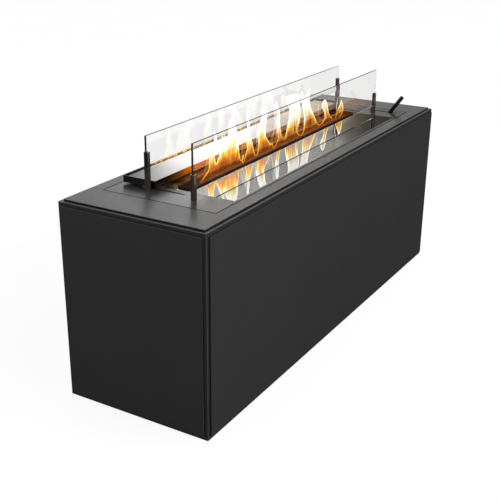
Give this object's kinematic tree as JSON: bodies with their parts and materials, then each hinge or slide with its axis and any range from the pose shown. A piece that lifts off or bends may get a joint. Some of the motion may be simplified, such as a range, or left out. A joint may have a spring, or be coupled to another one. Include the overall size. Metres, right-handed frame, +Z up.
{
  "type": "bioethanol fireplace",
  "caption": "Free-standing box bioethanol fireplace: clad steel casing, slot burner in a polished plate, glass panes on slotted posts, lever-worked sliding burner cover.",
  "frame": {"origin": "centre of the footprint, on the floor", "axes": "+Z up, +X along the long side towards the lever end, -Y towards the long face on the lever's side"},
  "size_m": [1.2084, 0.3684, 0.5724],
  "materials": {
    "casing_black": "satin fine-grain powder coat",
    "cladding_black": "satin fine-grain powder coat",
    "insert_black": "satin fine-grain powder coat, heat resistant",
    "cover_black": "semi-gloss heat-resistant enamel",
    "post_black": "dark satin metal",
    "lever_steel": "blackened steel",
    "polished_steel": "mirror polished stainless steel",
    "burner_steel": "heat-tinted stainless steel",
    "tank_steel": "stainless steel sheet",
    "zinc_steel": "zinc-plated steel",
    "inner_steel": "galvanised steel sheet",
    "seal_rubber": "black sponge rubber",
    "silicone": "black silicone",
    "gasket_paper": "ceramic fibre paper",
    "fibre": "soft white ceramic fibre",
    "glass_clear": "clear tempered, arrised edges",
    "bronze": "sintered bronze",
    "nylon": "natural nylon",
    "grip_black": "matte heat-resistant plastic"
  },
  "bodies": {
    "casing": {"body_shell": "casing_black", "base_plate": "inner_steel", "base_studs": "zinc_steel", "front_panel": "cladding_black", "back_panel": "cladding_black", "left_panel": "cladding_black", "right_panel": "cladding_black", "side_panel_seals": "seal_rubber", "end_panel_seals": "seal_rubber", "panel_studs": "zinc_steel", "top_plate": "cladding_black", "top_plate_seal": "seal_rubber", "top_plate_studs": "zinc_steel", "insert_base": "insert_black", "insert_trim": "insert_black", "mirror_plate": "polished_steel", "insert_seal": "gasket_paper", "insert_studs": "zinc_steel", "m5_nuts": "zinc_steel", "burner_rim": "burner_steel", "burner_grid": "burner_steel", "fuel_tank": "tank_steel", "tank_gasket": "gasket_paper", "tank_studs": "zinc_steel", "tank_nuts": "zinc_steel", "ceramic_fibre": "fibre", "drip_tray": "tank_steel", "guide_plates": "inner_steel", "shaft_brackets": "inner_steel", "shaft_bushes": "bronze", "glass_posts_front": "post_black", "glass_posts_rear": "post_black", "post_washers": "zinc_steel", "post_nuts": "zinc_steel", "slot_liners": "silicone"},
    "cover": {"cover_lid": "cover_black", "cover_pad": "fibre", "slide_arms": "inner_steel", "cover_studs": "zinc_steel", "cover_nuts": "zinc_steel", "guide_rollers": "nylon", "roller_pins": "zinc_steel"},
    "rocker": {"rocker_shaft": "zinc_steel", "crank_arms": "inner_steel", "crank_pins": "zinc_steel", "shaft_clips": "zinc_steel", "lever": "lever_steel", "lever_grip": "grip_black", "lever_screws": "zinc_steel"},
    "front_pane": {"glass_front": "glass_clear"},
    "rear_pane": {"glass_rear": "glass_clear"}
  },
  "joints": [
    {"name": "cover_slide", "type": "slide", "parent": "casing", "child": "cover", "axis": [0, -1, 0], "range_m": [0, 0.0875]},
    {"name": "lever_rock", "type": "hinge", "parent": "casing", "child": "rocker", "pos_m": [0, -0.0785, 0.421], "axis": [-1, 0, 0], "range_deg": [0, 70.5]},
    {"name": "front_pane_lift", "type": "slide", "parent": "casing", "child": "front_pane", "axis": [0, 0, 1], "range_m": [0, 0.04]},
    {"name": "rear_pane_lift", "type": "slide", "parent": "casing", "child": "rear_pane", "axis": [0, 0, 1], "range_m": [0, 0.04]}
  ],
  "couplings": [
    {"joint": "lever_rock", "follows": "cover_slide", "rad_per_m": 14.042}
  ]
}
